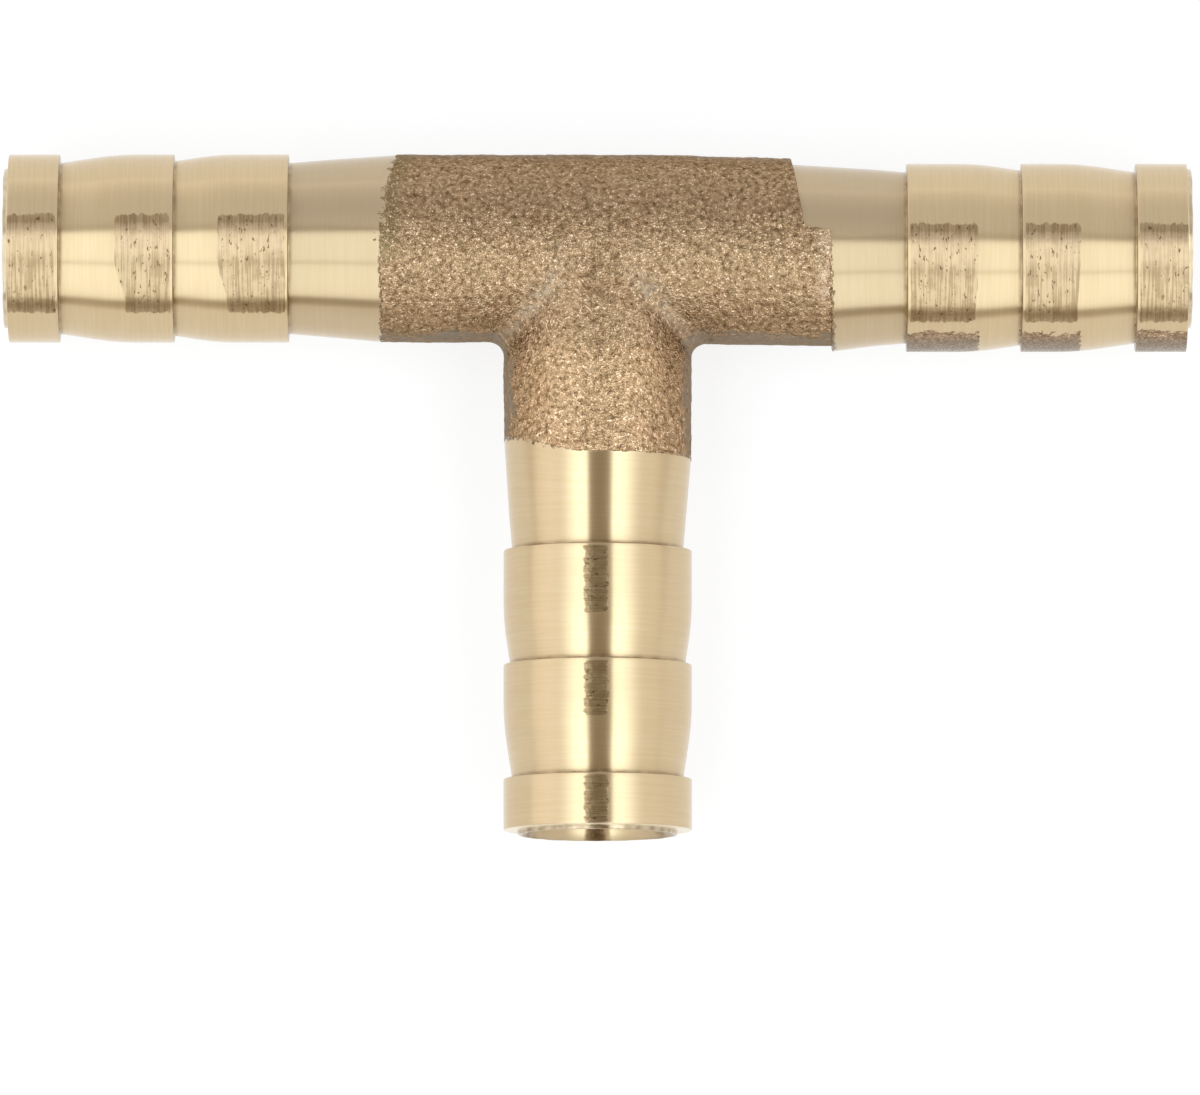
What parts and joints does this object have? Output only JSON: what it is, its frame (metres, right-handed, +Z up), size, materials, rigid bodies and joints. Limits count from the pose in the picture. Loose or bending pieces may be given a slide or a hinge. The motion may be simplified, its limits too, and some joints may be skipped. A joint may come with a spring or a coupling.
{
  "type": "barbed tee connector",
  "caption": "Flat brass tee whose legs are turned into barbed hose tails, joining flexible hoses into a branched low-pressure water, air or fuel line.",
  "frame": {"origin": "where the axes of the run and the branch cross, in the middle of the tee", "axes": "+X along the run, -Y along the branch, +Z up when the tee lies flat"},
  "size_m": [0.05, 0.0288, 0.008],
  "materials": {
    "cast_brass": "satin",
    "machined_brass": "polished"
  },
  "bodies": {
    "root": {"tee_body": "cast_brass", "left_hose_tail": "machined_brass", "right_hose_tail": "machined_brass", "branch_hose_tail": "machined_brass"}
  },
  "joints": []
}
